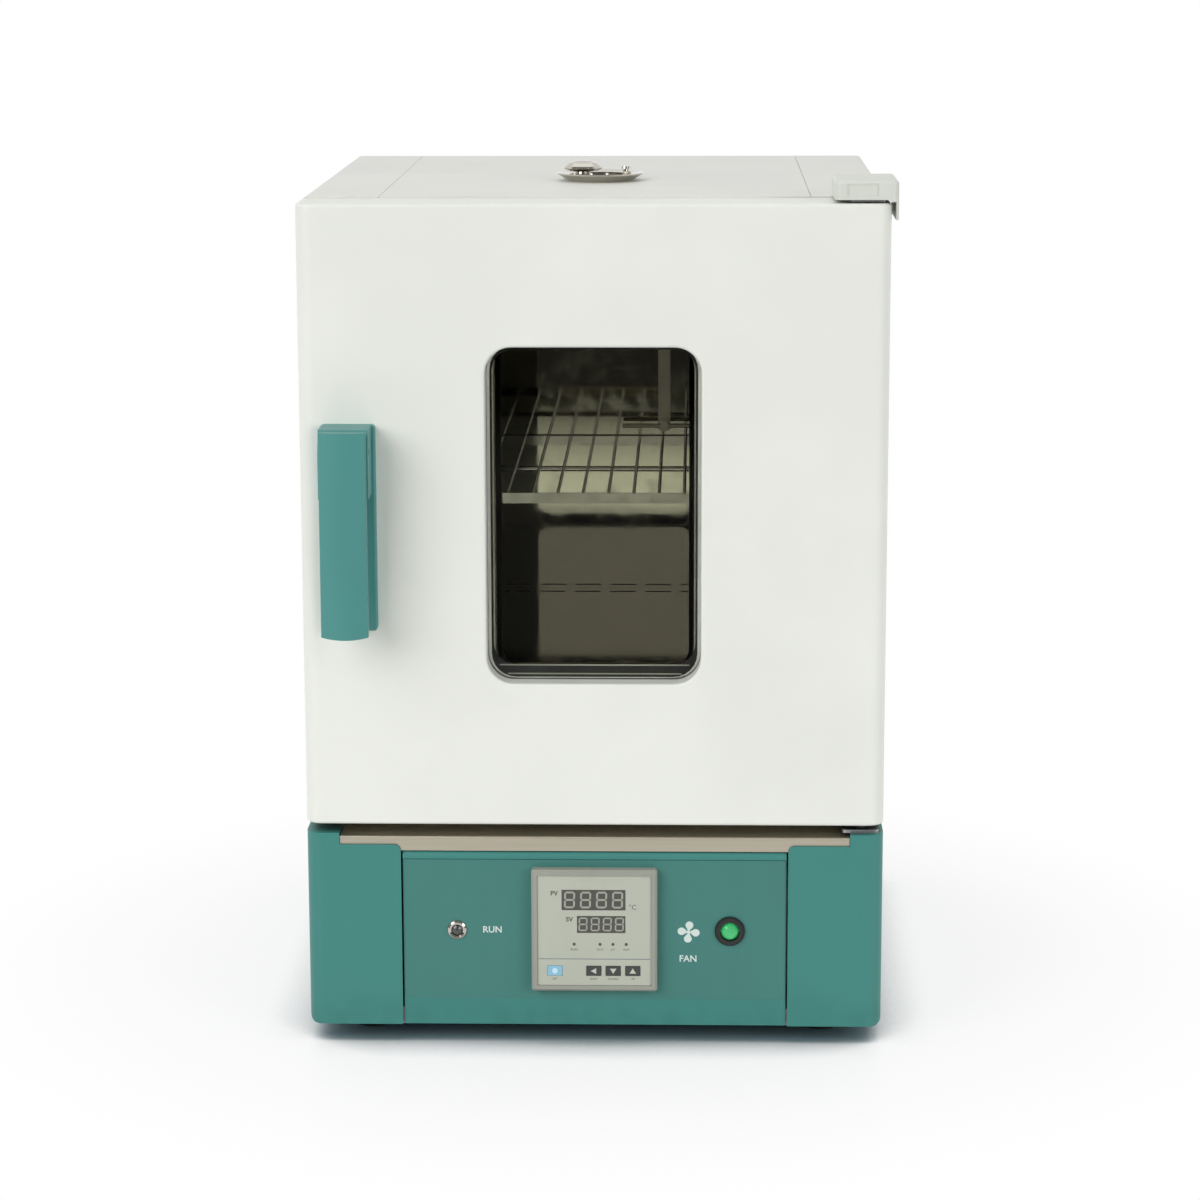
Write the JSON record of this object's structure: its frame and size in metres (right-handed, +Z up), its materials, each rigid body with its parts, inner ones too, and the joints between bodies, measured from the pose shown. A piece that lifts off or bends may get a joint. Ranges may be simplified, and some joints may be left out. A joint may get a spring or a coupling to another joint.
{
  "type": "laboratory drying oven",
  "caption": "Bench-top drying oven with a glazed side-hinged door, pull-lever handle, wire shelf, top vent and a control base with digital temperature controller.",
  "frame": {"origin": "centre of the bounding box at the underside of the feet", "axes": "+Z up, -Y towards the front (door) face, +X towards the hinge side on the right as seen from the front"},
  "size_m": [0.4452, 0.5386, 0.661],
  "materials": {
    "cream_enamel": "semi-gloss powder coat",
    "pale_enamel": "semi-gloss powder coat",
    "green_enamel": "semi-gloss powder coat",
    "green_film": "satin printed film",
    "green_plastic": "semi-gloss",
    "pale_plastic": "satin",
    "green_lens": "clear tinted, backlit",
    "galvanised": "dull zinc",
    "stainless": "fine brushed",
    "mirror_steel": "mirror polished",
    "chrome": "polished",
    "aluminium": "turned",
    "black_rubber": "matte",
    "grey_silicone": "matte",
    "black_plastic": "fine texture",
    "grey_plastic": "satin",
    "face_film": "satin",
    "display_lens": "gloss, smoke tinted",
    "blue_plastic": "satin",
    "dark_plastic": "satin",
    "lamp_red": "clear tinted",
    "tempered_glass": "clear",
    "mineral_wool": "fibrous",
    "heater_steel": "heat tinted"
  },
  "bodies": {
    "cabinet": {"rubber_feet": "black_rubber", "foot_screws": "galvanised", "base_cheeks": "green_enamel", "base_tray": "galvanised", "base_deck": "galvanised", "base_back_panel": "green_enamel", "mains_inlet": "black_plastic", "inlet_blades": "chrome", "front_trim": "stainless", "control_panel": "green_enamel", "panel_overlay": "green_film", "controller_bezel": "grey_plastic", "controller_case": "black_plastic", "controller_displays": "display_lens", "status_lamps": "lamp_red", "controller_face": "face_film", "run_lamp_bezel": "chrome", "run_lamp_lens": "lamp_red", "fan_switch_housing": "black_plastic", "side_panels": "pale_enamel", "top_panel": "pale_enamel", "back_panel": "pale_enamel", "front_frame": "stainless", "chamber_liner": "mirror_steel", "chamber_insulation": "mineral_wool", "floor_plate": "mirror_steel", "heating_elements": "heater_steel", "fan_motor": "galvanised", "machine_screws": "galvanised", "shelf_racks": "stainless", "temperature_sensor": "stainless", "sensor_bracket": "stainless", "vent_flange": "chrome", "vent_stop_screw": "chrome", "vent_pipe": "stainless", "hinge_brackets": "galvanised", "upper_hinge_cover": "pale_plastic", "catch_magnet": "black_plastic"},
    "door": {"door_outer_panel": "cream_enamel", "door_inner_panel": "stainless", "door_insulation": "mineral_wool", "window_panes": "tempered_glass", "window_seal": "grey_silicone", "window_sleeve": "stainless", "door_gasket": "grey_silicone", "hinge_bushes": "aluminium", "handle_housing": "green_plastic", "handle_pivot_pin": "chrome", "catch_plate": "galvanised"},
    "handle_lever": {"handle_lever": "green_plastic"},
    "push_pin": {"push_pin": "chrome"},
    "wire_shelf": {"wire_shelf": "chrome"},
    "fan": {"fan_rotor": "aluminium"},
    "vent_valve": {"vent_disc": "chrome", "vent_knob": "chrome"},
    "fan_rocker": {"fan_switch_rocker": "green_lens"},
    "set_key": {"key_set": "blue_plastic"},
    "left_key": {"key_left": "dark_plastic"},
    "down_key": {"key_down": "dark_plastic"},
    "up_key": {"key_up": "dark_plastic"}
  },
  "joints": [
    {"name": "door_hinge", "type": "hinge", "parent": "cabinet", "child": "door", "pos_m": [0.19993, -0.20525, 0.173], "axis": [0, 0, 1], "range_deg": [0, 95]},
    {"name": "handle_pull", "type": "hinge", "parent": "door", "child": "handle_lever", "pos_m": [-0.18577, -0.25025, 0.464], "axis": [-1, 0, 0], "range_deg": [0, 15], "stiffness_Nm_per_rad": 0.6, "springref_deg": -8.59},
    {"name": "push_pin_slide", "type": "slide", "parent": "door", "child": "push_pin", "axis": [0, 1, 0], "range_m": [0, 0.0024]},
    {"name": "shelf_slide", "type": "slide", "parent": "cabinet", "child": "wire_shelf", "axis": [0, -1, 0], "range_m": [-0.003, 0.006]},
    {"name": "fan_spin", "type": "hinge", "parent": "cabinet", "child": "fan", "pos_m": [-0.00257, -0.01725, 0.257], "axis": [0, 0, 1], "continuous": true},
    {"name": "vent_turn", "type": "hinge", "parent": "cabinet", "child": "vent_valve", "pos_m": [-0.00257, -0.00825, 0.645], "axis": [0, 0, 1], "range_deg": [0, 90]},
    {"name": "fan_switch_rock", "type": "hinge", "parent": "cabinet", "child": "fan_rocker", "pos_m": [0.10093, -0.22025, 0.0895], "axis": [-1, 0, 0], "range_deg": [0, 14]},
    {"name": "key_set_press", "type": "slide", "parent": "cabinet", "child": "set_key", "axis": [0, 1, 0], "range_m": [0, 0.0005], "stiffness_N_per_m": 400},
    {"name": "key_left_press", "type": "slide", "parent": "cabinet", "child": "left_key", "axis": [0, 1, 0], "range_m": [0, 0.0005], "stiffness_N_per_m": 400},
    {"name": "key_down_press", "type": "slide", "parent": "cabinet", "child": "down_key", "axis": [0, 1, 0], "range_m": [0, 0.0005], "stiffness_N_per_m": 400},
    {"name": "key_up_press", "type": "slide", "parent": "cabinet", "child": "up_key", "axis": [0, 1, 0], "range_m": [0, 0.0005], "stiffness_N_per_m": 400}
  ],
  "couplings": [
    {"joint": "push_pin_slide", "follows": "handle_pull", "m_per_rad": 0.009}
  ]
}
